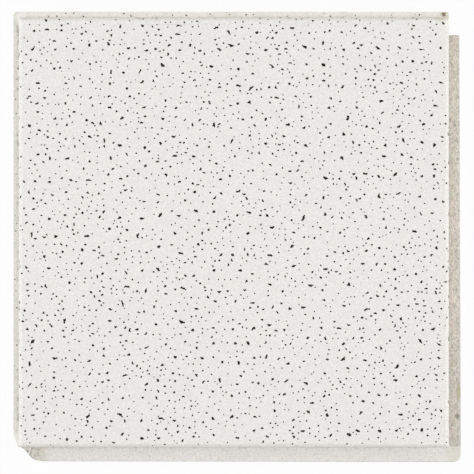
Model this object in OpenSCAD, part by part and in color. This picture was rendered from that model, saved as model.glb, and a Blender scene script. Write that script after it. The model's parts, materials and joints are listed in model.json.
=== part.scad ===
// Square fibreboard ceiling tile with tongues on two sides and stapling flanges on the other two.
// It lies on its back with the painted face up, and the origin is on the back, under the middle of
// the face. The side flange is at +X, the end flange at -Y and the tongues are at -X and +Y.
// A tile's tongues slide into the grooves of the tiles laid before it and hide their flanges.

/* [Face] */
// Side of the square face, which is also the pitch at which the tiles are laid
face_size = 304.8; // [200:0.1:400]
// Thickness from the back to the painted face
thickness = 12.7; // [12.5:0.1:20]
// Width of the bevel round the face
bevel_w = 2.6; // [1:0.1:4]
// Drop of the bevel from the face to its foot
bevel_h = 1.8; // [1:0.1:2.6]
// How far the middle of the bevel stands out of a straight slope
bevel_crown = 0.2; // [0.1:0.05:0.4]

/* [Stapling flanges] */
// Thickness of both flanges, measured from the back
flange_t = 5.4; // [4:0.1:5.6]
// Reach of the side flange past the face, at the corner that the flanges share
side_flange_w = 9.2; // [6:0.1:14]
// How much narrower the side flange is at its far end
side_flange_taper = 1.1; // [0:0.1:2]
// Reach of the end flange past the face, at the corner that the flanges share
end_flange_w = 11; // [8:0.1:18]
// How much narrower the end flange is at its torn end
end_flange_taper = 0.5; // [0:0.1:1]
// Radius of the shared corner
flange_corner_r = 5.3; // [1:0.1:7]

/* [Tongue and groove] */
// Height of the grooves, which start at the flanges
groove_h = 4.2; // [4.1:0.1:4.6]
// Depth of the grooves behind the edge of the face
groove_depth = 4.8; // [4.2:0.1:8]
// Room between the tip of a tongue and the bottom of a groove
tip_gap = 0.7; // [0.2:0.1:1]
// Room above and below a tongue in a groove
tongue_play = 0.2; // [0.1:0.05:0.5]
// Room left round a covered flange
lap_gap = 1; // [0.5:0.1:3]
// Radius of the corner where the two tongues meet
tongue_corner_r = 2.8; // [0.5:0.1:4]
// Radius at the far end of the top tongue
tongue_end_r = 1.4; // [0.5:0.1:2]

/* [Wear] */
// Length of the rubbed end of the left tongue
rubbed_len = 13; // [5:0.5:30]
// How far that end is rubbed back
rubbed_depth = 3.8; // [1:0.1:4]
// Radius of the rubbed corner of the face beside it
rubbed_corner_r = 2.6; // [0.5:0.1:5]
// Reach of the tear along the end flange
torn_len = 6.2; // [3:0.1:10]
// Reach of the tear across the end flange
torn_w = 5.2; // [2:0.1:7]
// Length of the worn round from the tear to the outer edge of the flange
torn_round_len = 9.5; // [4:0.5:20]
// Roughness of the torn edge, to either side
torn_rough = 0.5; // [0.1:0.1:0.8]
// Setback of the torn edge in the upper half of the flange
torn_step = 1.8; // [0.3:0.1:2.5]
// Length of the chip in the end of the top tongue
chip_len = 2.7; // [2:0.1:4.5]
// Depth of the chip below the top of the tongue
chip_depth = 2.2; // [0.5:0.1:3]

/* [Fissures] */
// Mean distance between fissures
fissure_pitch = 12.8; // [10:0.05:40]
// Length of the shortest fissure
fissure_len_min = 2; // [1:0.1:3]
// Length of the longest fissure
fissure_len_max = 5.2; // [3:0.1:7]
// Width of the narrowest fissure
fissure_w_min = 1.2; // [0.6:0.1:1.5]
// Width of the widest fissure
fissure_w_max = 2; // [1.6:0.1:2.8]
// Depth of the shallowest fissure
fissure_depth_min = 1.8; // [1:0.1:2.4]
// Board left between the deepest fissures and the grooves
fissure_floor = 0.6; // [0.3:0.1:1]
// Largest turn of a fissure from the length of the board, in degrees
fissure_turn = 90; // [0:5:90]
// Choice of the random layout
layout_seed = 7; // [1:1:999]

/* [Hidden] */

half = face_size / 2;
tongue_len = groove_depth - tip_gap;
tongue_t = groove_h - 2 * tongue_play;
tongue_z = flange_t + tongue_play;
lip_z = flange_t + groove_h;
fissure_depth_max = thickness - lip_z - fissure_floor;

// What covers a neighbour's flange is cut back by the flange's reach and the lap gap
side_lap = side_flange_w + lap_gap;
end_lap = end_flange_w + lap_gap;

// Cutters run past the surfaces that they cut by this much
over = 1;
// Flat facets across the bevel
bevel_facets = 3;
// Points of a fissure's outline, and the spread of their angles and radii
fissure_points = 5;
fissure_angle_spread = 20;
fissure_radius_spread = 0.3;
fissure_bend = 0.4;
// How strongly the fissures keep to the length of the board, 0 for not at all
fissure_lean = 0.8;
// Pieces of the torn edge, and of the worn round beyond it
torn_pieces = 5;
round_pieces = 6;
// Seeds of the places, far from those of the outlines
place_seed = layout_seed + 5000;

// Radius of the arc that leaves a straight edge as its tangent and is rubbed back by depth over len
function rub_radius(len, depth) = (len * len + depth * depth) / (2 * depth);

// Outer edge of the end flange at a place along it
function end_edge(x) = -half - end_flange_w + end_flange_taper * (half - x) / face_size;

// Points from a to b, the first included, that stray from the straight line by up to rough
function torn_line(a, b, rough, seed) =
    let (
        stray = rands(-rough, rough, torn_pieces, seed),
        along = b - a,
        across = [-along.y, along.x] / norm(along)
    )
    [for (k = [0 : torn_pieces - 1]) a + along * k / torn_pieces + across * (k == 0 ? 0 : stray[k])];

// Length of the fissure with this number, more often short than long
function fissure_len(number) =
    let (u = rands(0, 1, 1, layout_seed + 3 * number)[0])
    fissure_len_min + (fissure_len_max - fissure_len_min) * u * u;

// Bent, irregular outline of the fissure with this number, along the X axis
function fissure_outline(number) =
    let (
        len = fissure_len(number),
        u = rands(0, 1, 2, layout_seed + 3 * number + 1),
        width = fissure_w_min + (fissure_w_max - fissure_w_min) * u[0],
        bend = width * fissure_bend * (2 * u[1] - 1),
        stray = rands(-1, 1, 2 * fissure_points, layout_seed + 3 * number + 2)
    )
    [for (k = [0 : fissure_points - 1])
        let (
            angle = 360 * k / fissure_points + fissure_angle_spread * stray[k],
            reach = 1 + fissure_radius_spread * stray[fissure_points + k],
            x = len / 2 * reach * cos(angle),
            y = width / 2 * reach * sin(angle)
        )
        [x, y + bend * pow(2 * x / len, 2)]
    ];

// What a round of radius r removes from a square corner at the origin, in the first quadrant
module corner_round(r) {
    difference() {
        translate([-over, -over])
            square(r + over);
        translate([r, r])
            circle(r, $fn = 64);
    }
}

// Face block, full thickness over the whole pitch
module face_block() {
    translate([-half, -half, 0])
        cube([face_size, face_size, thickness]);
}

// Plate whose two free edges are the tongues
module tongue_plate() {
    translate([0, 0, tongue_z])
        linear_extrude(tongue_t)
            difference() {
                translate([-half - tongue_len, -half])
                    square(face_size + tongue_len);
                translate([-half - tongue_len, half + tongue_len])
                    mirror([0, 1])
                        corner_round(tongue_corner_r);
                translate([half, half + tongue_len])
                    rotate(180)
                        corner_round(tongue_end_r);
                rubbed_tongue_end();
            }
}

// What is rubbed off the lower end of the left tongue
module rubbed_tongue_end() {
    r = rub_radius(rubbed_len, rubbed_depth);
    translate([-half - tongue_len, -half])
        difference() {
            translate([-over, -over])
                square([rubbed_depth + 2 * over, rubbed_len + over]);
            translate([r, rubbed_len])
                circle(r, $fn = 180);
        }
}

// Both flanges as one L-shaped plate, each a little narrower away from their shared corner
module flange_plate() {
    groove_end = half - groove_depth;
    far_end = half - end_lap;
    corner = [half + side_flange_w, -half - end_flange_w];
    linear_extrude(flange_t)
        difference() {
            polygon([
                [-half, end_edge(-half)],
                [half, corner.y],
                corner,
                [corner.x, -half],
                [corner.x - side_flange_taper, far_end],
                [groove_end, far_end],
                [groove_end, -groove_end],
                [-half, -groove_end]
            ]);
            translate(corner)
                mirror([1, 0])
                    corner_round(flange_corner_r);
        }
}

// Rebates behind the tongues, where the neighbours' flanges lie
module flange_rebates() {
    translate([-half - tongue_len - over, -half, -over])
        cube([tongue_len + over + side_lap, face_size + tongue_len + over, tongue_z + over]);
    translate([-half - tongue_len - over, half - end_lap, -over])
        cube([face_size + tongue_len + 2 * over, end_lap + tongue_len + over, tongue_z + over]);
}

// Grooves over the flanges, which take the neighbours' tongues
module grooves() {
    translate([half - groove_depth, -half - end_flange_w - over, flange_t])
        cube([
            groove_depth + side_flange_w + over,
            face_size + end_flange_w + over,
            groove_h
        ]);
    translate([-half, -half - end_flange_w - over, flange_t])
        cube([face_size + side_flange_w, end_flange_w + over + groove_depth, groove_h]);
}

// Crowned bevel along one side of the face, here the one at -Y, in a few flat facets
module face_bevel() {
    outward = [-bevel_h, bevel_w] / norm([bevel_w, bevel_h]);
    translate([-half - over, -half, thickness - bevel_h])
        rotate([90, 0, 90])
            linear_extrude(face_size + 2 * over)
                polygon(concat(
                    [for (k = [0 : bevel_facets])
                        let (u = k / bevel_facets)
                        [bevel_w, bevel_h] * u + outward * 4 * bevel_crown * u * (1 - u)
                    ],
                    [[bevel_w, bevel_h + over], [-over, bevel_h + over], [-over, 0]]
                ));
}

// Left end of the end flange, torn off from the corner of the face and worn round beyond the tear
module torn_flange_end(setback, seed) {
    corner = [-half + setback, -half];
    notch = corner + [torn_len, -torn_w];
    fall = notch.y - end_edge(notch.x + torn_round_len);
    outside = -half - end_flange_w - over;
    polygon(concat(
        torn_line(corner, notch, torn_rough, seed),
        [for (k = [0 : round_pieces - 1])
            let (angle = 90 * k / round_pieces)
            notch + [torn_round_len * (1 - cos(angle)), -fall * sin(angle)]
        ],
        [[notch.x + torn_round_len, outside], [-half - over, outside], [-half - over, -half]]
    ));
}

// Torn end through the lower and the upper half of the flange
module torn_flange() {
    translate([0, 0, -over])
        linear_extrude(flange_t + 2 * over)
            torn_flange_end(0, layout_seed);
    translate([0, 0, flange_t / 2])
        linear_extrude(flange_t)
            torn_flange_end(torn_step, layout_seed + 2);
}

// Chip broken out of the top tongue where the side groove ends behind it
module tongue_chip() {
    left = half - groove_depth;
    right = left + chip_len;
    outside = half + tongue_len + over;
    translate([0, 0, tongue_z + tongue_t - chip_depth])
        linear_extrude(chip_depth + over)
            polygon([
                [left - chip_len / 6, outside],
                [left + chip_len / 6, half + tongue_len / 6],
                [right, half + tongue_len / 3],
                [right - chip_len / 8, outside]
            ]);
}

// Rubbed corner of the lip above the torn flange end
module rubbed_face_corner() {
    translate([-half, -half, lip_z - tongue_play / 2])
        linear_extrude(thickness - lip_z + over)
            corner_round(rubbed_corner_r);
}

// Fissures in the flat of the face, one at a random place in each cell of a square layout
module fissures() {
    room = face_size - 2 * bevel_w;
    count = floor(room / fissure_pitch);
    cell = room / count;
    for (row = [0 : count - 1], column = [0 : count - 1]) {
        number = row * count + column;
        place = rands(-1, 1, 4, place_seed + number);
        depth = fissure_depth_min + (fissure_depth_max - fissure_depth_min) * (place[3] + 1) / 2;
        stray = (cell - fissure_len(number) * (1 + fissure_radius_spread)) / 2;
        x = (column + 0.5) * cell - room / 2 + stray * place[0];
        y = (row + 0.5) * cell - room / 2 + stray * place[1];
        translate([x, y, thickness - depth])
            rotate(fissure_turn * place[2] * pow(abs(place[2]), fissure_lean))
                linear_extrude(depth + over)
                    polygon(fissure_outline(number));
    }
}

// The whole tile, one piece of fibreboard
module ceiling_tile() {
    color("whitesmoke")
        difference() {
            union() {
                face_block();
                tongue_plate();
                flange_plate();
            }
            flange_rebates();
            grooves();
            for (turn = [0 : 90 : 270])
                rotate(turn)
                    face_bevel();
            torn_flange();
            tongue_chip();
            rubbed_face_corner();
            fissures();
        }
}

ceiling_tile();
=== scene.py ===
"""Dresses the fibreboard ceiling tile: soft edges, pricked and painted face, raw fibre flanges."""

import json
import math
import random

import bmesh
import bpy
from mathutils import Matrix, Vector


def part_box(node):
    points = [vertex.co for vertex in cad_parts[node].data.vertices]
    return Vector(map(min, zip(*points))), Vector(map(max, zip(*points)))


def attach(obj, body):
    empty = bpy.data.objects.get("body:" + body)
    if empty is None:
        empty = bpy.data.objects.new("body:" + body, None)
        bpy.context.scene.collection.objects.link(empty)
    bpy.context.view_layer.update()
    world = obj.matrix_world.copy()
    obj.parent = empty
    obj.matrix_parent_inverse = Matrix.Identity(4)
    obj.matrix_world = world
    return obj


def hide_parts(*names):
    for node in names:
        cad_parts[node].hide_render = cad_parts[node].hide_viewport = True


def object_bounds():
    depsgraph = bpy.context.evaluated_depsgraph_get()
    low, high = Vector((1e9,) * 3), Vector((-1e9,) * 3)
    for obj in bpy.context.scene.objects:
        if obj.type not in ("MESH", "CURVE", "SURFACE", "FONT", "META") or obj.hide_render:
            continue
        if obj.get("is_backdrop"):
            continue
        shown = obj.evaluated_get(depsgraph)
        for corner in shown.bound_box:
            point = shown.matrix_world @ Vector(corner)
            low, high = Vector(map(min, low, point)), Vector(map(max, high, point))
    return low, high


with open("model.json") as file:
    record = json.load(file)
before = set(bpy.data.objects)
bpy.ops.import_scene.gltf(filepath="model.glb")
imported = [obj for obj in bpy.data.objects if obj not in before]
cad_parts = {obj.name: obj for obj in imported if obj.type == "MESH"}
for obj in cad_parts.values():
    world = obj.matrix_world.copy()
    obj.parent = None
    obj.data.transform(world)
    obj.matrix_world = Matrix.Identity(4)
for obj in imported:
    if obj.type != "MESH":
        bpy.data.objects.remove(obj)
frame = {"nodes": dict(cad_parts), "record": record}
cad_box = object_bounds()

bl_info = {
    "name": "Fibreboard Ceiling Tile",
    "version": (1, 0, 0),
    "blender": (4, 5, 0),
    "location": "View3D > Sidebar > Tile",
    "description": "Dresses an interlocking fibreboard ceiling tile and lights it from two sides",
    "category": "Object",
}

NODE = "ceiling_tile"
MM = 0.001

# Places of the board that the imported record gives
MOUNTS = {mount["name"]: Vector(mount["pos_m"]) for mount in frame["record"]["mounts"]}
HALF = MOUNTS["side_groove"].x
TONGUE_TIP = MOUNTS["end_tongue"].y
FLANGE_TOP = MOUNTS["side_flange"].z
# The tongues lie midway up the grooves, with the same play above and below
GROOVE_MID = MOUNTS["side_groove"].z
LOW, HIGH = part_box(NODE)
FACE_TOP = HIGH.z

# How far along the edges the torn end of the end flange and the chip in the top tongue reach
TEAR_REACH = 20 * MM
CHIP_REACH = 7 * MM
# Places closer than this count as the same, heights as level, and corners are merged
SLIGHT = 0.05 * MM
LEVEL = 0.01 * MM
MERGED = 0.001 * MM
# Edges that turn by less than this stay as they are, apart from the folds of the bevel
SHARP = math.radians(35)
FOLD = math.radians(5)
# Edges that turn by less than this are shaded smooth, unless only one of their sides faces
# along an axis
SMOOTH = math.radians(30)
AXIAL = 0.9999
# Surfaces whose normal rises by more than this look up, or slope enough to be painted
UPWARD = 0.5
SLOPING = 0.1

# How strongly slits and pinholes keep to the length of the board
LEAN = 0.8
# Fall of the nicks in the edges of the face, which lie along its bevel
NICK_FALL = math.radians(-35)
# Share of the bevel's width that marks keep clear of, and shares of the marks that stay on the
# bevel and on its bottom side
EDGE_CLEARANCE = 0.45
BEVEL_SHARE = 0.5
BOTTOM_SHARE = 0.2
# Bands that small marks and nicks lie in, as shares of a tongue's length and of the smallest
# nick's width
TONGUE_BAND = (0.2, 0.8)
NICK_BAND = (0.2, 0.7)
# How many times longer than wide the pinholes in the face and in the tongues are
PINHOLE_STRETCH = (1, 1.5)
TONGUE_STRETCH = (1, 2)
# How far frayed corners lie towards a fissure's middle, and apart in widths of the largest pinhole
FRAY_INSET = 0.3
FRAY_ROOM = 1.5
# Sides, bend and first seed of each kind of cutter, and how many variants of it are made
CUTTERS = {"pinhole": (7, 0, 1), "slit": (8, 0.25, 11), "nick": (8, 0, 21)}
VARIANTS = 4
# A cutter's rise over the surface, unevenness, width at the bottom and unbent middle, as shares
# of its size
CUTTER_RISE = 0.25
CUTTER_STRAY = 0.13
CUTTER_BOTTOM = 0.7
CUTTER_MIDDLE = 0.2

# Width of the floor, its drop below the tile and how strongly it glows white
FLOOR_WIDTH = 6
FLOOR_DROP = 0.2 * MM
FLOOR_GLOW = 0.9

# Material slots of the board
PAINT, FIBRE, PIT = range(3)

# Soiled spots on the bevel and stains on the top tongue: place across the face, radius, strength
BEVEL_SPOTS = (
    (-67 * MM, 151 * MM, 1.8 * MM, 0.55),
    (112 * MM, 152.2 * MM, 1.4 * MM, 0.6),
    (120.5 * MM, 150.8 * MM, 1.6 * MM, 0.5),
    (-150.5 * MM, 110 * MM, 1.8 * MM, 0.4),
    (-151 * MM, -24.5 * MM, 1.8 * MM, 0.6),
)
TONGUE_STAINS = (
    (-147.5 * MM, 152.7 * MM, 4 * MM, 0.6),
    (-3 * MM, 152.8 * MM, 4.5 * MM, 0.6),
    (78 * MM, 154.7 * MM, 3 * MM, 0.6),
)


# Settings


def count_setting(name, description, default):
    """Setting for a whole number."""
    return bpy.props.IntProperty(name=name, description=description, default=default)


def length_setting(name, description, default):
    """Setting for a length."""
    return bpy.props.FloatProperty(
        name=name, description=description, default=default, unit="LENGTH"
    )


def lengths_setting(name, description, default):
    """Setting for two or three lengths."""
    return bpy.props.FloatVectorProperty(
        name=name, description=description, size=len(default), default=default, unit="LENGTH"
    )


def colour_setting(name, description, default):
    """Setting for a colour."""
    return bpy.props.FloatVectorProperty(
        name=name, description=description, default=default, subtype="COLOR"
    )


class BoardSettings(bpy.types.PropertyGroup):
    """Sizes of the board's finer shapes"""

    bevel_width: length_setting("Bevel width", "Width of the bevel round the face", 2.6 * MM)
    bevel_drop: length_setting(
        "Bevel drop", "Drop of the bevel from the face to its foot", 1.8 * MM
    )
    tongue_thickness: length_setting("Tongue thickness", "Thickness of the tongues", 3.8 * MM)
    rim_round: length_setting(
        "Rim round",
        "How far the rim of the face and the folds of its bevel are rounded off",
        0.45 * MM,
    )
    lip_round: length_setting(
        "Lip round", "How far the edge at the foot of the bevel is rounded off", 0.08 * MM
    )
    flange_round: length_setting(
        "Flange round", "How far the upper edges of the flanges are rounded off", 0.7 * MM
    )
    edge_round: length_setting(
        "Edge round", "How far the other sharp edges of the board are rounded off", 0.3 * MM
    )
    tear_roughness: length_setting(
        "Tear roughness", "How far torn fibre stands out of the torn surfaces", 0.25 * MM
    )
    pinholes: count_setting("Pinholes", "Number of pinholes in the face", 1960)
    pinhole_width: lengths_setting(
        "Pinhole width", "Smallest and largest width of the pinholes", (0.87 * MM, 1.4 * MM)
    )
    slits: count_setting("Slits", "Number of short slits between the fissures of the face", 330)
    slit_length: lengths_setting(
        "Slit length", "Smallest and largest length of the slits", (1.6 * MM, 3.1 * MM)
    )
    slit_width: lengths_setting(
        "Slit width", "Smallest and largest width of the slits", (1.05 * MM, 1.6 * MM)
    )
    prick_depth: lengths_setting(
        "Depth", "Smallest and largest depth of the pinholes and slits", (1.6 * MM, 2.4 * MM)
    )
    spacing: lengths_setting(
        "Spacing",
        "Smallest and largest distance that a pinhole or slit keeps from the others",
        (1.9 * MM, 4.6 * MM),
    )
    floor_left: length_setting(
        "Floor left", "Board left between the pinholes in the bevel and the grooves", 0.6 * MM
    )
    fissure_scale: bpy.props.FloatVectorProperty(
        name="Fissure scale",
        description="How much of a fissure's length and width the paint leaves open",
        size=2,
        default=(0.88, 1.06),
    )
    raggedness: bpy.props.FloatProperty(
        name="Raggedness",
        description="Share of the corners of the fissures that are frayed by a pinhole",
        default=0.4,
        subtype="FACTOR",
    )
    nicks: count_setting("Nicks", "Number of nicks in the top, left and right edge of the face", 10)
    nick_length: lengths_setting(
        "Nick length", "Smallest and largest length of the nicks", (1.4 * MM, 3.4 * MM)
    )
    nick_width: lengths_setting(
        "Nick width", "Smallest and largest width of the nicks", (1.2 * MM, 2.0 * MM)
    )
    nick_depth: lengths_setting(
        "Nick depth", "Smallest and largest depth of the nicks", (0.4 * MM, 0.7 * MM)
    )
    tongue_marks: count_setting("Tongue marks", "Number of small pinholes in the tongues", 34)
    tongue_mark_width: lengths_setting(
        "Tongue mark width",
        "Smallest and largest width of the pinholes in the tongues",
        (0.6 * MM, 1.0 * MM),
    )
    seed: count_setting("Seed", "Choice of the random layout of pinholes and slits", 11)


class FinishSettings(bpy.types.PropertyGroup):
    """Colours of the board"""

    paint: colour_setting("Paint", "White paint of the face", (0.915, 0.906, 0.871))
    spray: colour_setting("Overspray", "Thin paint on the top tongue", (0.890, 0.875, 0.815))
    dull_spray: colour_setting(
        "Dull overspray", "Thin, soiled paint on the left tongue", (0.820, 0.815, 0.752)
    )
    flange_spray: colour_setting(
        "Flange overspray", "Thin paint on the end flange", (0.866, 0.852, 0.816)
    )
    fibre: colour_setting("Fibre", "Raw pressed fibre", (0.720, 0.665, 0.600))
    bare: colour_setting(
        "Bare corner",
        "Pale fibre at the corner and the torn end of the end flange",
        (0.760, 0.745, 0.655),
    )
    torn: colour_setting(
        "Torn fibre", "Fibre where the board is torn or chipped", (0.390, 0.315, 0.245)
    )
    stain: colour_setting(
        "Stain", "Old yellow stains, as round the chipped corner", (0.700, 0.655, 0.500)
    )
    rust: colour_setting(
        "Rust streaks",
        "Faint streaks on the left tongue and at the torn end",
        (0.740, 0.630, 0.570),
    )
    # Dirt, and also the dark colour of the painted shade at the side flange's wall and under the
    # flanges' rims
    grime_and_shade: colour_setting("Grime", "Dirt in the corners and on the flange", (0.380, 0.365, 0.320))
    # Fibre in the depth of the holes, painted near black as shade
    pit_shade: colour_setting(
        "Pit", "Fibre in the depth of the fissures and pinholes", (0.030, 0.028, 0.025)
    )


class StageSettings(bpy.types.PropertyGroup):
    """Floor, lamps and camera"""

    floor_colour: colour_setting("Floor colour", "Colour of the floor", (0.9, 0.9, 0.9))
    side_power: bpy.props.FloatProperty(
        name="Side lamps",
        description="Power of each of the two side lamps",
        default=10.0,
        unit="POWER",
    )
    side_distance: length_setting(
        "Side lamp distance", "Distance of the side lamps from the middle of the tile", 1.6
    )
    side_elevation: bpy.props.FloatProperty(
        name="Side lamp elevation",
        description="Height of the side lamps over the floor, seen from the tile",
        default=math.radians(13.5),
        subtype="ANGLE",
    )
    side_size: lengths_setting("Side lamp size", "Width and height of the side lamps", (0.8, 0.25))
    top_power: bpy.props.FloatProperty(
        name="Top lamp",
        description="Power of the lamp over the tile",
        default=23.3,
        unit="POWER",
    )
    top_place: lengths_setting(
        "Top lamp place", "Place of the lamp over the tile", (0.0, 0.08, 2.2)
    )
    top_size: lengths_setting(
        "Top lamp size", "Width and depth of the lamp over the tile", (0.5, 0.5)
    )
    fill: bpy.props.FloatProperty(
        name="Fill light",
        description="Strength of the even light from all round",
        default=0.3,
    )
    camera_height: length_setting("Camera height", "Height of the camera over the face", 1.4)
    view_width: length_setting(
        "View width", "Width of the picture, measured on the face", 335.6 * MM
    )
    view_offset: lengths_setting(
        "View offset", "Middle of the picture, from the middle of the face", (2.2 * MM, -3.3 * MM)
    )


# Places on the board


def edge_distance(x, y):
    """Distance of a point from the edge of the square face, negative outside it."""
    return HALF - max(abs(x), abs(y))


def tongue_top(settings):
    """Height of the tongues' upper sides."""
    return GROOVE_MID + settings.tongue_thickness / 2


def bevel_foot(settings):
    """Height of the foot of the bevel."""
    return FACE_TOP - settings.bevel_drop


def surface_height(x, y, settings):
    """Height of the board's upper surface at a place."""
    inside = edge_distance(x, y)
    if inside >= settings.bevel_width:
        return FACE_TOP
    if inside >= 0:
        return FACE_TOP - settings.bevel_drop * (1 - inside / settings.bevel_width)
    if x > HALF or y < -HALF:
        return FLANGE_TOP
    return tongue_top(settings)


def in_flat(place, settings):
    """Whether a place is in the fissured flat of the face or in one of its fissures."""
    inside = edge_distance(place.x, place.y) > settings.bevel_width + SLIGHT
    return inside and place.z > tongue_top(settings)


def at_tear(place):
    """Whether a place is at the torn end of the end flange."""
    at_end = place.y < -HALF + SLIGHT and place.x < -HALF + TEAR_REACH
    return at_end and place.z < FLANGE_TOP + SLIGHT


def at_chip(place):
    """Whether a place is at the chipped end of the top tongue."""
    return place.y > HALF + SLIGHT and place.x > HALF - CHIP_REACH


# Shapes


def select_only(obj):
    """Select one object, make it active and leave everything else unselected."""
    bpy.ops.object.select_all(action="DESELECT")
    obj.select_set(True)
    bpy.context.view_layer.objects.active = obj


def select_parts(obj, kind, chosen):
    """Go into edit mode and select only the corners, edges or faces that chosen says."""
    if obj.mode == "OBJECT":
        select_only(obj)
        bpy.ops.object.mode_set(mode="EDIT")
    bpy.ops.mesh.select_mode(type=kind)
    bpy.ops.mesh.select_all(action="DESELECT")
    shell = bmesh.from_edit_mesh(obj.data)
    for part in {"VERT": shell.verts, "EDGE": shell.edges, "FACE": shell.faces}[kind]:
        if chosen(part):
            part.select_set(True)
    bmesh.update_edit_mesh(obj.data)


def copy_board():
    """A merged copy of the solid's mesh, as an object of its own."""
    board = bpy.data.objects.new("tile_board", frame["nodes"][NODE].data.copy())
    bpy.context.scene.collection.objects.link(board)
    board.data.materials.clear()
    select_only(board)
    bpy.ops.mesh.customdata_custom_splitnormals_clear()
    bpy.ops.object.mode_set(mode="EDIT")
    bpy.ops.mesh.select_all(action="SELECT")
    bpy.ops.mesh.remove_doubles(threshold=MERGED)
    bpy.ops.object.mode_set(mode="OBJECT")
    return board


def fissures_of(shell):
    """Numbers of the corners of each fissure of the face, in order."""
    left = {face for face in shell.faces if face.material_index == PIT}
    while left:
        reached = [left.pop()]
        for face in reached:
            beside = {other for edge in face.edges for other in edge.link_faces} & left
            left -= beside
            reached.extend(beside)
        yield sorted({corner.index for face in reached for corner in face.verts})


def draw_in_fissures(board, settings):
    """Draw in the ends of the fissures, as paint does that closes them, and widen them a little."""
    select_parts(board, "VERT", lambda corner: False)
    shell = bmesh.from_edit_mesh(board.data)
    shell.verts.ensure_lookup_table()
    for numbers in list(fissures_of(shell)):
        corners = [shell.verts[number] for number in numbers]
        middle = sum((corner.co for corner in corners), Vector()) / len(corners)
        gaps = [corner.co - middle for corner in corners]
        slant = 2 * sum(gap.x * gap.y for gap in gaps)
        turn = math.atan2(slant, sum(gap.x ** 2 - gap.y ** 2 for gap in gaps)) / 2
        bpy.ops.mesh.select_all(action="DESELECT")
        for corner in corners:
            corner.select_set(True)
        bmesh.update_edit_mesh(board.data)
        bpy.ops.transform.resize(
            value=(*settings.fissure_scale, 1),
            orient_type="GLOBAL",
            orient_matrix=Matrix.Rotation(turn, 3, "Z"),
            orient_matrix_type="GLOBAL",
            center_override=middle,
        )
    bpy.ops.object.mode_set(mode="OBJECT")


def round_edges(board, chosen, width, segments):
    """Round off the edges of the board that chosen says."""
    select_parts(board, "EDGE", chosen)
    bpy.ops.mesh.bevel(offset=width, segments=segments, affect="EDGES", clamp_overlap=False)
    bpy.ops.object.mode_set(mode="OBJECT")


def soften_edges(board, settings):
    """Round off the folds of the bevel, its lip, the flanges and then the other edges."""

    def middle(edge):
        return (edge.verts[0].co + edge.verts[1].co) / 2

    def is_level(edge, height):
        return all(abs(corner.co.z - height) < LEVEL for corner in edge.verts)

    def is_fold(edge):
        on_bevel = SLIGHT < edge_distance(*middle(edge).xy) < settings.bevel_width + SLIGHT
        return on_bevel and is_level(edge, edge.verts[0].co.z) and edge.calc_face_angle() > FOLD

    def is_lip(edge):
        at_edge = abs(edge_distance(*middle(edge).xy)) < SLIGHT
        return at_edge and is_level(edge, bevel_foot(settings)) and edge.calc_face_angle() > FOLD

    def is_worn(edge):
        place = middle(edge)
        return in_flat(place, settings) or at_tear(place) or at_chip(place)

    def is_flange_rim(edge):
        sharp = edge.calc_face_angle_signed() > SHARP
        return sharp and is_level(edge, FLANGE_TOP) and not is_worn(edge)

    def is_outer(edge):
        return edge.calc_face_angle_signed() > SHARP and not is_worn(edge)

    round_edges(board, is_fold, settings.rim_round, segments=2)
    round_edges(board, is_lip, settings.lip_round, segments=2)
    round_edges(board, is_flange_rim, settings.flange_round, segments=4)
    round_edges(board, is_outer, settings.edge_round, segments=2)


def roughen_tears(board, settings):
    """Break up the torn and chipped surfaces into rough fibre, and hold their rims."""
    margin = 2 * SLIGHT
    rim_height = 6 * SLIGHT
    tear_rim = 1 * MM

    def is_torn(face):
        place = face.calc_center_median()
        on_tear = at_tear(place) and margin < place.z < FLANGE_TOP - margin
        below = place.z < tongue_top(settings) - margin
        in_chip = at_chip(place) and FLANGE_TOP + SLIGHT < place.z and below
        return on_tear or (in_chip and place.y < TONGUE_TIP - SLIGHT)

    def is_held(corner):
        at_back = corner.co.z < rim_height
        at_face = abs(corner.co.y + HALF) < SLIGHT
        at_rim = corner.co.y > TONGUE_TIP - rim_height or corner.co.y < LOW.y + tear_rim
        on_flange = abs(corner.co.z - FLANGE_TOP) < SLIGHT
        on_tongue = corner.co.z > tongue_top(settings) - SLIGHT
        return at_back or at_face or at_rim or on_flange or on_tongue

    select_parts(board, "FACE", is_torn)
    bpy.ops.mesh.subdivide(number_cuts=4)
    bpy.ops.mesh.select_mode(type="VERT")
    shell = bmesh.from_edit_mesh(board.data)
    for corner in shell.verts:
        if is_held(corner):
            corner.select = False
    bmesh.update_edit_mesh(board.data)
    bpy.ops.transform.vertex_random(offset=settings.tear_roughness, uniform=1, seed=settings.seed)
    bpy.ops.object.mode_set(mode="OBJECT")


def model_prick(name, sides, bend, seed, material):
    """One hole as a closed cutter, 1 wide and 1 deep below the origin, narrower at its bottom."""
    depth = 1 + CUTTER_RISE
    half_way = CUTTER_RISE - depth / 2
    bpy.ops.object.select_all(action="DESELECT")
    bpy.ops.mesh.primitive_cylinder_add(
        vertices=sides, radius=0.5, depth=depth, location=(0, 0, half_way)
    )
    prick = bpy.context.object
    prick.name = name
    bpy.ops.object.transform_apply(location=True)
    select_parts(prick, "VERT", lambda corner: True)
    bpy.ops.transform.vertex_random(offset=CUTTER_STRAY, uniform=0.6, seed=seed)
    select_parts(prick, "VERT", lambda corner: corner.co.z < half_way)
    bpy.ops.transform.resize(value=(CUTTER_BOTTOM, CUTTER_BOTTOM, 1))
    select_parts(prick, "VERT", lambda corner: abs(corner.co.x) > CUTTER_MIDDLE)
    bpy.ops.transform.translate(value=(0, bend, 0))
    bpy.ops.object.mode_set(mode="OBJECT")
    prick.data.materials.append(material)
    return prick


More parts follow.
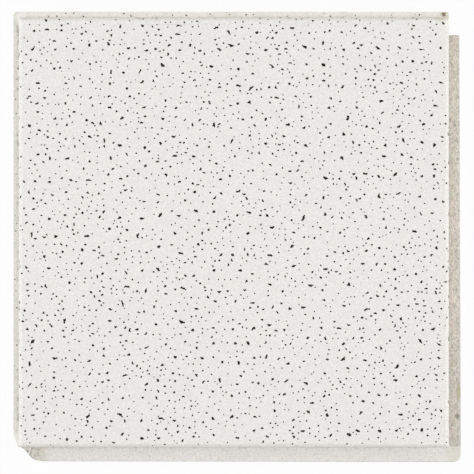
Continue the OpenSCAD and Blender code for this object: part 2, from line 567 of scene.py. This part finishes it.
class Layout:
    """Places that are taken, kept in square cells so that near ones are found quickly"""

    cell = 5 * MM

    def __init__(self, places=()):
        self.cells = {}
        for x, y in places:
            self.take(x, y)

    def key(self, x, y):
        """Column and row of the cell at a place."""
        return math.floor(x / self.cell), math.floor(y / self.cell)

    def take(self, x, y):
        """Take a place."""
        self.cells.setdefault(self.key(x, y), []).append((x, y))

    def is_free(self, x, y, room):
        """Whether no taken place is closer than room, which is at most a cell."""
        column, row = self.key(x, y)
        return not any(
            (x - u) ** 2 + (y - v) ** 2 < room * room
            for i in range(column - 1, column + 2)
            for j in range(row - 1, row + 2)
            for u, v in self.cells.get((i, j), ())
        )


def scatter(rng, count, layout, spacing, place):
    """Places for count marks that keep a random distance from each other and the taken ones."""
    found = []
    while len(found) < count:
        x, y = place()
        if layout.is_free(x, y, rng.uniform(*spacing)):
            layout.take(x, y)
            found.append((x, y))
    return found


def on_face(rng, settings):
    """A random place on the face, seldom on its bevel and clear of its edge."""
    reach = HALF - settings.bevel_width * EDGE_CLEARANCE
    while True:
        x, y = rng.uniform(-reach, reach), rng.uniform(-reach, reach)
        share = BOTTOM_SHARE if y < settings.bevel_width - HALF else BEVEL_SHARE
        if edge_distance(x, y) > settings.bevel_width or rng.random() < share:
            return x, y


def on_tongues(rng):
    """A random place on the left or the top tongue, clear of its ends."""
    along = rng.uniform(-HALF + TEAR_REACH, HALF - TEAR_REACH)
    across = HALF + (TONGUE_TIP - HALF) * rng.uniform(*TONGUE_BAND)
    return rng.choice(((-across, along), (along, across)))


def on_edges(rng, settings):
    """A random place just inside the top, left and right edge of the face, and the edge's turn."""
    for turn in (0, math.radians(90), math.radians(-90)):
        along = rng.uniform(-HALF + TEAR_REACH, HALF - TEAR_REACH)
        place = Vector((along, HALF - settings.nick_width[0] * rng.uniform(*NICK_BAND), 0))
        place.rotate(Matrix.Rotation(turn, 3, "Z"))
        yield place.x, place.y, turn


def frayed_corners(rng, settings, floors):
    """Places near some corners of the fissures' floors, far enough apart for a pinhole at each."""
    layout = Layout()
    room = settings.pinhole_width[1] * FRAY_ROOM
    for middle, corners in floors:
        for corner in corners:
            x, y = corner.lerp(middle, FRAY_INSET)
            if rng.random() < settings.raggedness and layout.is_free(x, y, room):
                layout.take(x, y)
                yield x, y


def lay_out_marks(rng, settings, floors):
    """Kind, place, turn, length, width and depth of every slit, pinhole and nick."""
    small, large = settings.pinhole_width
    marks = []

    def any_turn():
        lean = rng.uniform(-1, 1)
        return math.radians(90) * lean * abs(lean) ** LEAN

    def any_depth():
        return rng.uniform(*settings.prick_depth)

    def add_pinhole(x, y):
        width = small + (large - small) * rng.random() ** 2
        turn = any_turn()
        length = width * rng.uniform(*PINHOLE_STRETCH)
        marks.append(("pinhole", x, y, turn, length, width, any_depth()))

    for x, y in frayed_corners(rng, settings, floors):
        add_pinhole(x, y)
    count = settings.slits + settings.pinholes
    layout = Layout(middle for middle, corners in floors)
    places = scatter(rng, count, layout, settings.spacing, lambda: on_face(rng, settings))
    for x, y in places[:settings.slits]:
        length, width = rng.uniform(*settings.slit_length), rng.uniform(*settings.slit_width)
        marks.append(("slit", x, y, any_turn(), length, width, any_depth()))
    for x, y in places[settings.slits:]:
        add_pinhole(x, y)
    count = settings.tongue_marks
    places = scatter(rng, count, Layout(), settings.spacing, lambda: on_tongues(rng))
    for x, y in places:
        width = rng.uniform(*settings.tongue_mark_width)
        turn = any_turn()
        marks.append(("pinhole", x, y, turn, width * rng.uniform(*TONGUE_STRETCH), width, width))
    for _ in range(settings.nicks):
        for x, y, turn in on_edges(rng, settings):
            length, width = rng.uniform(*settings.nick_length), rng.uniform(*settings.nick_width)
            marks.append(("nick", x, y, turn, length, width, rng.uniform(*settings.nick_depth)))
    return marks


def cut_marks(board, settings, pit_shade, fibre):
    """Cut the pinholes, slits and nicks out of the board."""
    rng = random.Random(settings.seed)
    points = board.data.vertices
    floors = [
        (face.center.xy, [points[index].co.xy for index in face.vertices])
        for face in board.data.polygons
        if face.material_index == PIT and face.normal.z > UPWARD
    ]
    shapes = {}
    for kind, (sides, bend, seed) in CUTTERS.items():
        lining = fibre if kind == "nick" else pit_shade
        shapes[kind] = [
            model_prick(f"{kind}_{i}", sides, bend * (-1) ** i, seed + i, lining)
            for i in range(VARIANTS)
        ]
    lip = tongue_top(settings) + settings.floor_left
    cutters = []
    for kind, x, y, turn, length, width, depth in lay_out_marks(rng, settings, floors):
        cutter = rng.choice(shapes[kind]).copy()
        cutter.data = cutter.data.copy()
        ground = surface_height(x, y, settings)
        if edge_distance(x, y) > 0:
            depth = min(depth, ground - lip)
        place = Matrix.Translation((x, y, ground)) @ Matrix.Rotation(turn, 4, "Z")
        if kind == "nick":
            place @= Matrix.Rotation(NICK_FALL, 4, "X")
        cutter.data.transform(place @ Matrix.Diagonal((length, width, depth, 1)))
        bpy.context.scene.collection.objects.link(cutter)
        cutters.append(cutter)
    select_only(cutters[0])
    for cutter in cutters:
        cutter.select_set(True)
    bpy.ops.object.join()
    holes = cutters[0]

    select_only(board)
    cut = board.modifiers.new("marks", "BOOLEAN")
    cut.operation = "DIFFERENCE"
    cut.solver = "MANIFOLD"
    cut.material_mode = "TRANSFER"
    cut.object = holes
    bpy.ops.object.modifier_apply(modifier=cut.name)
    for spent in sum(shapes.values(), [holes]):
        bpy.data.objects.remove(spent)


def smooth_rounds(board):
    """Shade the rounded edges smooth and leave the flat sides flat."""
    select_only(board)
    bpy.ops.object.shade_smooth_by_angle(angle=SMOOTH)
    bpy.ops.object.mode_set(mode="EDIT")
    shell = bmesh.from_edit_mesh(board.data)
    for edge in shell.edges:
        flats = [max(abs(part) for part in face.normal) > AXIAL for face in edge.link_faces]
        if any(flats) and not all(flats):
            edge.smooth = False
    bmesh.update_edit_mesh(board.data)
    bpy.ops.object.mode_set(mode="OBJECT")
    even = board.modifiers.new("even shading", "WEIGHTED_NORMAL")
    even.keep_sharp = True
    bpy.ops.object.modifier_apply(modifier=even.name)


def region_of(face, settings):
    """Material slot of a face of the mesh, by its place and direction."""
    if in_flat(face.center, settings) and face.center.z < FACE_TOP - LEVEL:
        return PIT if face.normal.z > -UPWARD else FIBRE
    above_foot = face.center.z > bevel_foot(settings) - SLIGHT
    return PAINT if above_foot and face.normal.z > SLOPING else FIBRE


# Materials


class Finish:
    """One procedural material and the nodes that make it"""

    def __init__(self, name):
        self.material = bpy.data.materials.new(name)
        self.material.use_nodes = True
        self.tree = self.material.node_tree
        self.shader = self.tree.nodes["Principled BSDF"]
        self.where = self.node("ShaderNodeTexCoord")
        self.place = self.where.outputs["Object"]
        axes = self.node("ShaderNodeSeparateXYZ", {"Vector": self.place})
        self.x, self.y, self.z = axes.outputs

    def put(self, socket, value):
        """Link a socket to an output, or set its value."""
        if isinstance(value, bpy.types.NodeSocket):
            self.tree.links.new(value, socket)
        elif socket.type == "RGBA":
            socket.default_value = (*value, 1.0)
        else:
            socket.default_value = value

    def node(self, kind, inputs=None, **options):
        """A new node with its options set and its inputs filled or linked."""
        made = self.tree.nodes.new(kind)
        for name, value in options.items():
            setattr(made, name, value)
        for name, value in (inputs or {}).items():
            self.put(made.inputs[name], value)
        return made

    def maths(self, operation, a, b=0.0):
        """Result of one sum on two values."""
        return self.node("ShaderNodeMath", {0: a, 1: b}, operation=operation).outputs[0]

    def times(self, a, b):
        """Product of two values."""
        return self.maths("MULTIPLY", a, b)

    def ramp(self, value, low, high, start=0.0, end=1.0):
        """Smooth step of a value, from start at low to end at high."""
        inputs = {"Value": value, "From Min": low, "From Max": high, "To Min": start, "To Max": end}
        return self.node("ShaderNodeMapRange", inputs, interpolation_type="SMOOTHSTEP").outputs[0]

    def noise(self, size, detail=4.0, stretch=(1, 1, 1), twist=0.0):
        """Noise from 0 to 1 whose features are about size wide, longer along an axis by stretch."""
        scale = [1 / (size * factor) for factor in stretch]
        grown = self.node("ShaderNodeVectorMath", {0: self.place, 1: scale}, operation="MULTIPLY")
        inputs = {"Vector": grown.outputs[0], "Scale": 1.0, "Detail": detail, "Roughness": 0.6}
        return self.node("ShaderNodeTexNoise", {**inputs, "Distortion": twist}).outputs["Fac"]

    def blotches(self, size, low, high, share=1.0, **options):
        """Blotches about size wide: 0 where the noise is under low, share where it is over high."""
        return self.ramp(self.noise(size, **options), low, high, 0, share)

    def blend(self, factor, a, b):
        """Mix of two colours."""
        made = self.node("ShaderNodeMix", {0: factor, 6: a, 7: b}, data_type="RGBA")
        return made.outputs[2]

    def spot(self, place, radius, wander, share=1.0, stretch=(1, 1, 1)):
        """Spot round a place, share strong in its middle, with an edge that wanders."""
        gap = self.node("ShaderNodeVectorMath", {0: self.place, 1: place}, operation="SUBTRACT")
        scale = [1 / factor for factor in stretch]
        gap = self.node("ShaderNodeVectorMath", {0: gap.outputs[0], 1: scale}, operation="MULTIPLY")
        gap = self.node("ShaderNodeVectorMath", {0: gap.outputs[0]}, operation="LENGTH")
        stray = self.times(self.maths("SUBTRACT", self.noise(radius), 0.5), 2 * wander)
        reach = self.maths("ADD", gap.outputs["Value"], stray)
        return self.ramp(reach, radius * 0.5, radius, share, 0)

    def outside(self):
        """Distance from the edge of the square face, negative inside it."""
        far = self.maths("MAXIMUM", self.maths("ABSOLUTE", self.x), self.maths("ABSOLUTE", self.y))
        return self.maths("SUBTRACT", far, HALF)

    def relief(self, height, depth):
        """Relief of that depth on the surface."""
        made = self.node("ShaderNodeBump", {"Height": height, "Distance": depth, "Strength": 1.0})
        self.put(self.shader.inputs["Normal"], made.outputs["Normal"])

    def surface(self, colour, roughness, specular):
        """Colour and gloss of the surface."""
        self.put(self.shader.inputs["Base Color"], colour)
        self.put(self.shader.inputs["Roughness"], roughness)
        self.put(self.shader.inputs["Specular IOR Level"], specular)


def shade(colour, level):
    """A colour made lighter or darker by level."""
    return tuple(channel * level for channel in colour)


def tint(colour, red, green, blue):
    """A colour with each channel made stronger or weaker."""
    return colour[0] * red, colour[1] * green, colour[2] * blue


def paint_finish(colours, settings):
    """White paint, stippled and a little uneven, soiled on the bevel and at its foot."""
    paint = Finish("white_paint")
    drift = paint.blotches(30 * MM, 0.3, 0.7)
    colour = paint.blend(drift, shade(colours.paint, 0.975), colours.paint)
    stipple = paint.blotches(1.3 * MM, 0.35, 0.65, detail=2.0)
    colour = paint.blend(stipple, colour, shade(colours.paint, 0.87))
    aged = paint.ramp(paint.outside(), -settings.bevel_width, 0, 0, 0.1)
    colour = paint.blend(aged, colour, colours.stain)
    aged_top = paint.ramp(paint.y, HALF - settings.bevel_width, HALF - 0.5 * MM, 0, 0.1)
    colour = paint.blend(aged_top, colour, colours.stain)
    on_bevel = paint.ramp(paint.outside(), -settings.bevel_width, -settings.bevel_width / 2)
    soil = paint.times(on_bevel, paint.blotches(3 * MM, 0.59, 0.70, share=0.5))
    colour = paint.blend(soil, colour, colours.grime_and_shade)
    foot = bevel_foot(settings)
    for x, y, radius, share in BEVEL_SPOTS:
        spot = paint.spot((x, y, foot), radius, radius / 2, share)
        colour = paint.blend(spot, colour, colours.grime_and_shade)
    near_foot = paint.ramp(paint.z, foot, foot + 0.8 * MM, 1, 0)
    dirt = paint.times(near_foot, paint.blotches(1.5 * MM, 0.46, 0.62, share=0.12))
    colour = paint.blend(dirt, colour, colours.grime_and_shade)
    chipped_corner = (HALF - 5 * MM, HALF, foot)
    stain = paint.spot(chipped_corner, 5 * MM, 3 * MM, share=0.8, stretch=(1.8, 1, 1))
    stain = paint.times(stain, paint.blotches(2.5 * MM, 0.35, 0.6))
    colour = paint.blend(stain, colour, colours.stain)
    paint.surface(colour, roughness=0.8, specular=0.25)
    paint.relief(paint.noise(1.2 * MM, detail=3.0), depth=0.06 * MM)
    return paint.material


def raw_fibre(fibre, base):
    """Mottled pressed fibre with flecks drawn out along the side flange and a drifting tint."""
    drift = fibre.blotches(8 * MM, 0.4, 0.6, detail=2.0)
    colour = fibre.blend(drift, tint(base, 1.045, 1.005, 1.005), tint(base, 0.93, 0.98, 0.92))
    pale = fibre.blotches(1.8 * MM, 0.46, 0.64, share=0.95, stretch=(1, 2, 1), twist=1.5)
    colour = fibre.blend(pale, colour, shade(base, 1.26))
    dark = fibre.blotches(1.4 * MM, 0.48, 0.62, share=0.9, stretch=(1, 2.2, 1), twist=1.5)
    return fibre.blend(dark, colour, shade(base, 0.6))


def thin_paint(fibre, base, below, stretch):
    """Thin paint over fibre, streaked along the edge that it covers, grainy and worn in places."""
    drift = fibre.blotches(14 * MM, 0.4, 0.6, detail=2.0)
    colour = fibre.blend(drift, tint(base, 1.045, 1.015, 1.005), tint(base, 0.96, 0.98, 0.965))
    streaks = fibre.blotches(2.2 * MM, 0.4, 0.7, share=0.7, stretch=stretch)
    colour = fibre.blend(streaks, colour, shade(base, 0.9))
    grain = fibre.blotches(1.1 * MM, 0.42, 0.64, share=0.8, detail=2.0)
    colour = fibre.blend(grain, colour, shade(base, 0.84))
    worn = fibre.blotches(3 * MM, 0.57, 0.70, share=0.4)
    return fibre.blend(worn, colour, below)


def left_tongue(fibre, colours):
    """Dull thin paint, whiter at the rubbed end, with rusty streaks, dirt and painted shade along
    the wall.
    """
    along = (1, 5, 1)
    colour = thin_paint(fibre, colours.dull_spray, colours.fibre, along)
    rusty = fibre.blotches(2 * MM, 0.55, 0.70, share=0.7, stretch=along)
    colour = fibre.blend(rusty, colour, colours.rust)
    at_wall = fibre.ramp(fibre.x, -HALF - 2.3 * MM, -HALF - 1.1 * MM)
    # Painted shade: darker along the wall of the face, where the wall shades the tongue
    painted_wall_shade = fibre.times(at_wall, 0.6)
    colour = fibre.blend(painted_wall_shade, colour, shade(colours.dull_spray, 0.84))
    dirt = fibre.blotches(2.6 * MM, 0.52, 0.64, share=0.85, stretch=(1, 1.8, 1))
    colour = fibre.blend(fibre.times(at_wall, dirt), colour, colours.grime_and_shade)
    rubbed_end = (-HALF - 1 * MM, -HALF + 3 * MM, GROOVE_MID)
    rubbed = fibre.spot(rubbed_end, 9 * MM, 3 * MM, share=0.8)
    return fibre.blend(rubbed, colour, colours.paint)


def top_tongue(fibre, colours):
    """Thin paint with a grainy line of dirt at the wall of the face and a few old stains."""
    colour = thin_paint(fibre, colours.spray, colours.fibre, (5, 1, 1))
    patchy = fibre.blotches(2 * MM, 0.4, 0.6)
    for x, y, radius, share in TONGUE_STAINS:
        stain = fibre.spot((x, y, GROOVE_MID), radius, radius / 2, share, stretch=(1.3, 1, 2))
        colour = fibre.blend(fibre.times(stain, patchy), colour, colours.stain)
    at_wall = fibre.ramp(fibre.y, HALF + 0.2 * MM, HALF + 1.3 * MM, 1, 0)
    dirt = fibre.times(at_wall, fibre.blotches(1.4 * MM, 0.48, 0.62, share=0.4))
    return fibre.blend(dirt, colour, colours.grime_and_shade)


def end_flange(fibre, colours):
    """Thin paint on the end flange, painted lighter at the wall and under the lip, bare at the
    shared corner, speckled and pink at the tear.
    """
    colour = thin_paint(fibre, colours.flange_spray, colours.fibre, (1, 1.6, 1))
    mottle = fibre.blotches(2 * MM, 0.46, 0.62, share=0.7)
    colour = fibre.blend(mottle, colour, shade(colours.flange_spray, 0.88))
    flecks = fibre.blotches(1.5 * MM, 0.58, 0.66, share=0.3, detail=2.0)
    colour = fibre.blend(flecks, colour, colours.grime_and_shade)
    at_wall = fibre.ramp(fibre.y, -HALF - 7 * MM, -HALF)
    # Painted light: lighter towards the wall of the face, and more so just under the lip, where
    # shade falls
    colour = fibre.blend(fibre.times(at_wall, 0.4), colour, shade(colours.flange_spray, 1.08))
    painted_light_under_lip = fibre.ramp(fibre.y, -HALF - 1.4 * MM, -HALF - 0.4 * MM, 0, 0.8)
    colour = fibre.blend(painted_light_under_lip, colour, shade(colours.flange_spray, 1.12))
    shared_corner = (HALF + 5 * MM, -HALF - 6 * MM, FLANGE_TOP)
    colour = fibre.blend(fibre.spot(shared_corner, 9 * MM, 2 * MM, share=0.8), colour, colours.bare)
    torn_round = (-HALF + 13 * MM, -HALF - 8 * MM, FLANGE_TOP)
    pale = fibre.spot(torn_round, 9 * MM, 4 * MM, share=0.9)
    colour = fibre.blend(pale, colour, shade(colours.bare, 0.92))
    by_wall = (-HALF + 10 * MM, -HALF - 1.5 * MM, FLANGE_TOP)
    pink = fibre.spot(by_wall, 4 * MM, 2 * MM, share=0.5, stretch=(3, 1, 1))
    pink = fibre.times(pink, fibre.blotches(1.8 * MM, 0.38, 0.6))
    colour = fibre.blend(pink, colour, colours.rust)
    near_tear = (-HALF + 6 * MM, -HALF - 4 * MM, FLANGE_TOP)
    specks = fibre.blotches(1.6 * MM, 0.50, 0.60, share=0.75, detail=2.0)
    specks = fibre.times(specks, fibre.spot(near_tear, 12 * MM, 4 * MM))
    colour = fibre.blend(specks, colour, colours.grime_and_shade)
    soil = fibre.times(at_wall, fibre.blotches(1.6 * MM, 0.51, 0.63, share=0.3, detail=2.0))
    return fibre.blend(soil, colour, colours.grime_and_shade)


def side_flange(fibre, colours):
    """Raw fibre, with painted shade towards the wall of the face, grey at the rim, with two old
    blots low down.
    """
    colour = raw_fibre(fibre, colours.fibre)
    # Painted shade: darker towards the wall of the face, where the lip shades the flange
    at_wall = fibre.ramp(fibre.outside(), 0, 5 * MM, 0.22, 0)
    colour = fibre.blend(at_wall, colour, colours.grime_and_shade)
    low_down = fibre.ramp(fibre.y, -50 * MM, -100 * MM, 0, 0.12)
    colour = fibre.blend(low_down, colour, colours.grime_and_shade)
    at_end = fibre.ramp(fibre.y, 122 * MM, 132 * MM, 0, 0.13)
    colour = fibre.blend(at_end, colour, colours.torn)
    at_rim = fibre.ramp(fibre.x, HIGH.x - 2 * MM, HIGH.x - 0.8 * MM, 0, 0.45)
    colour = fibre.blend(at_rim, colour, tint(colours.fibre, 0.9, 0.95, 1.02))
    # Place, colour and stretch of each blot
    blots = (
        (HALF + 6.6 * MM, -130.8 * MM, shade(colours.grime_and_shade, 0.8), (1, 1, 1)),
        (HALF + 7.6 * MM, -113 * MM, shade(colours.stain, 0.74), (1, 3.5, 1)),
    )
    for x, y, shown, stretch in blots:
        blot = fibre.spot((x, y, FLANGE_TOP), 2.2 * MM, 0.7 * MM, share=0.85, stretch=stretch)
        colour = fibre.blend(blot, colour, shown)
    return colour


def fibre_finish(colours, settings):
    """Raw fibre of the edges, with thin paint on the tongues and the end flange, brown tears and
    painted shade under the flanges' rims.
    """
    fibre = Finish("edge_fibre")
    top = tongue_top(settings)
    up = fibre.node("ShaderNodeSeparateXYZ", {"Vector": fibre.where.outputs["Normal"]}).outputs["Z"]
    facing = fibre.ramp(up, 0.3, 0.7)
    edge = fibre.maths("ADD", fibre.y, fibre.times(fibre.noise(3 * MM), 1.5 * MM))
    at_end = fibre.ramp(edge, -HALF + 0.2 * MM, -HALF + 1.2 * MM, 1, 0)
    on_flange = fibre.ramp(fibre.z, FLANGE_TOP - 0.9 * MM, FLANGE_TOP - 0.5 * MM)
    end_skin = fibre.times(fibre.times(at_end, on_flange), facing)
    on_tongue = fibre.ramp(fibre.z, top - 0.6 * MM, top - 0.3 * MM)
    tongue_skin = fibre.times(on_tongue, facing)

    colour = fibre.blend(end_skin, side_flange(fibre, colours), end_flange(fibre, colours))
    at_left = fibre.ramp(fibre.x, -HALF - 0.5 * MM, -HALF, 1, 0)
    tongues = fibre.blend(at_left, top_tongue(fibre, colours), left_tongue(fibre, colours))
    white_corner = (-HALF + 0.8 * MM, HALF - 0.3 * MM, top)
    whitened = fibre.spot(white_corner, 5 * MM, 2 * MM, share=0.7)
    tongues = fibre.blend(whitened, tongues, colours.paint)
    colour = fibre.blend(tongue_skin, colour, tongues)

    # Painted shade on the flanges' sides just under their rounded rims, which turn away from the
    # light
    painted_rim_shade = fibre.ramp(fibre.z, FLANGE_TOP - 0.5 * MM, FLANGE_TOP - 0.05 * MM, 0.45, 0)
    above_side = fibre.ramp(fibre.z, FLANGE_TOP - 1.4 * MM, FLANGE_TOP - 0.7 * MM)
    colour = fibre.blend(fibre.times(painted_rim_shade, above_side), colour, colours.grime_and_shade)
    in_nick = fibre.times(fibre.ramp(fibre.z, top + 0.2 * MM, top + 0.5 * MM), facing)
    colour = fibre.blend(in_nick, colour, shade(colours.grime_and_shade, 1.35))
    chip = (HALF - 3.7 * MM, HALF + 2.4 * MM, top - 1 * MM)
    patchy = fibre.blotches(2 * MM, 0.4, 0.6, share=0.8)
    stain = fibre.times(fibre.spot(chip, 6 * MM, 2.5 * MM), patchy)
    colour = fibre.blend(stain, colour, colours.stain)
    colour = fibre.blend(fibre.spot(chip, 2.7 * MM, 1.3 * MM, share=0.85), colour, colours.torn)
    fibre.surface(colour, roughness=0.92, specular=0.12)
    fibre.relief(fibre.noise(1.4 * MM, detail=6.0), depth=0.16 * MM)
    return fibre.material


def pit_finish(colours):
    """Fibre in the holes, with a little paint at the mouth and painted shade, near black, below it.
    """
    pit_shade = Finish("pit_painted_shade")
    # Painted shade: the holes are near black at depth and turn to greyer fibre towards the mouth
    level = pit_shade.maths("ADD", pit_shade.z, pit_shade.times(pit_shade.noise(1 * MM), 0.4 * MM))
    mouth = pit_shade.ramp(level, FACE_TOP - 0.25 * MM, FACE_TOP + 0.25 * MM)
    colour = pit_shade.blend(mouth, colours.pit_shade, shade(colours.fibre, 0.5))
    pale = pit_shade.blotches(2.4 * MM, 0.54, 0.64, share=0.4, detail=2.0)
    colour = pit_shade.blend(pale, colour, shade(colours.fibre, 0.4))
    pit_shade.surface(colour, roughness=1.0, specular=0.0)
    return pit_shade.material


# Stage


def look_from(location, target):
    """Turn of a lamp or camera at a place that looks at a target."""
    return (Vector(target) - Vector(location)).to_track_quat("-Z", "Y").to_euler()


def add_lamp(name, place, power, size):
    """A lamp that shines on the tile and doesn't show in the picture."""
    bpy.ops.object.light_add(type="AREA", location=place, rotation=look_from(place, (0, 0, 0)))
    lamp = bpy.context.object
    lamp.name = name
    lamp.data.energy = power
    lamp.data.shape = "RECTANGLE"
    lamp.data.size, lamp.data.size_y = size
    lamp.visible_camera = False


def seen_directly(tree):
    """1 for rays that show the background itself, in the picture or in a reflection."""
    path = tree.nodes.new("ShaderNodeLightPath")
    shown = path.outputs["Is Camera Ray"]
    for kind in ("Is Glossy Ray", "Is Transmission Ray"):
        either = tree.nodes.new("ShaderNodeMath")
        either.operation = "MAXIMUM"
        tree.links.new(shown, either.inputs[0])
        tree.links.new(path.outputs[kind], either.inputs[1])
        shown = either.outputs[0]
    return shown


def floor_finish(colour):
    """Pale floor that shows as white but keeps the tile's shadow."""
    floor = Finish("pale_floor")
    floor.surface(colour, roughness=1.0, specular=0.0)
    glow = floor.node("ShaderNodeEmission", {"Color": (1, 1, 1), "Strength": 1.0})
    share = floor.times(seen_directly(floor.tree), FLOOR_GLOW)
    shaders = {0: share, 1: floor.shader.outputs[0], 2: glow.outputs[0]}
    both = floor.node("ShaderNodeMixShader", shaders)
    floor.put(floor.tree.nodes["Material Output"].inputs["Surface"], both.outputs[0])
    return floor.material


def light_world(strength):
    """Even light from all round, in front of a white background."""
    world = bpy.data.worlds.new("studio")
    bpy.context.scene.world = world
    world.use_nodes = True
    tree = world.node_tree
    background = tree.nodes["Background"]
    background.inputs["Color"].default_value = (1, 1, 1, 1)
    level = tree.nodes.new("ShaderNodeMapRange")
    level.inputs["To Min"].default_value = strength
    level.inputs["To Max"].default_value = 1.0
    tree.links.new(seen_directly(tree), level.inputs["Value"])
    tree.links.new(level.outputs[0], background.inputs["Strength"])


# Operators and panel


class TILE_OT_dress_board(bpy.types.Operator):
    """Copy the board, soften and prick it and give every side its finish"""

    bl_idname = "tile.dress_board"
    bl_label = "Dress Board"

    def execute(self, context):
        settings, colours = context.scene.tile_board, context.scene.tile_finish
        board = copy_board()
        finishes = [
            paint_finish(colours, settings),
            fibre_finish(colours, settings),
            pit_finish(colours),
        ]
        for material in finishes:
            board.data.materials.append(material)
        for face in board.data.polygons:
            face.material_index = region_of(face, settings)
        draw_in_fissures(board, settings)
        soften_edges(board, settings)
        roughen_tears(board, settings)
        cut_marks(board, settings, finishes[PIT], finishes[FIBRE])
        smooth_rounds(board)
        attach(board, "root")
        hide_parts(NODE)
        return {"FINISHED"}


class TILE_OT_set_stage(bpy.types.Operator):
    """Lay the floor, hang the lamps and put the camera over the face"""

    bl_idname = "tile.set_stage"
    bl_label = "Set Stage"

    def execute(self, context):
        stage = context.scene.tile_stage
        bpy.ops.object.select_all(action="DESELECT")
        bpy.ops.mesh.primitive_plane_add(size=FLOOR_WIDTH, location=(0, 0, LOW.z - FLOOR_DROP))
        floor = context.object
        floor.name = "floor"
        floor.data.materials.append(floor_finish(stage.floor_colour))
        floor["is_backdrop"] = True

        across = math.cos(stage.side_elevation) * stage.side_distance
        height = math.sin(stage.side_elevation) * stage.side_distance
        for name, side in (("left_lamp", -across), ("right_lamp", across)):
            add_lamp(name, (side, 0, height), stage.side_power, stage.side_size)
        add_lamp("top_lamp", stage.top_place, stage.top_power, stage.top_size)
        light_world(stage.fill)

        x, y = stage.view_offset
        place = (x, y, FACE_TOP + stage.camera_height)
        bpy.ops.object.camera_add(location=place, rotation=(0, 0, 0))
        camera = context.object
        camera.data.angle = 2 * math.atan(stage.view_width / 2 / stage.camera_height)
        context.scene.camera = camera
        context.scene.view_settings.view_transform = "Standard"
        return {"FINISHED"}


class TILE_PT_panel(bpy.types.Panel):
    """Settings of the tile and the buttons that build it"""

    bl_label = "Ceiling Tile"
    bl_idname = "TILE_PT_panel"
    bl_space_type = "VIEW_3D"
    bl_region_type = "UI"
    bl_category = "Tile"

    def draw(self, context):
        for name in GROUPS:
            group = getattr(context.scene, name)
            box = self.layout.box()
            for key in group.__annotations__:
                box.prop(group, key)
        self.layout.operator(TILE_OT_dress_board.bl_idname)
        self.layout.operator(TILE_OT_set_stage.bl_idname)


GROUPS = {"tile_board": BoardSettings, "tile_finish": FinishSettings, "tile_stage": StageSettings}
CLASSES = (*GROUPS.values(), TILE_OT_dress_board, TILE_OT_set_stage, TILE_PT_panel)


def register():
    """Make the classes and the scene's settings known."""
    for cls in CLASSES:
        bpy.utils.register_class(cls)
    for name, group in GROUPS.items():
        setattr(bpy.types.Scene, name, bpy.props.PointerProperty(type=group))


def unregister():
    """Take the scene's settings and the classes away again."""
    for name in GROUPS:
        delattr(bpy.types.Scene, name)
    for cls in reversed(CLASSES):
        bpy.utils.unregister_class(cls)


def main():
    """Build the tile and its stage."""
    register()
    bpy.ops.tile.dress_board()
    bpy.ops.tile.set_stage()
    boxes = {"cad": cad_box, "visual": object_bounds()}
    {name: [list(corner) for corner in box] for name, box in boxes.items()}


if __name__ == "__main__":
    main()
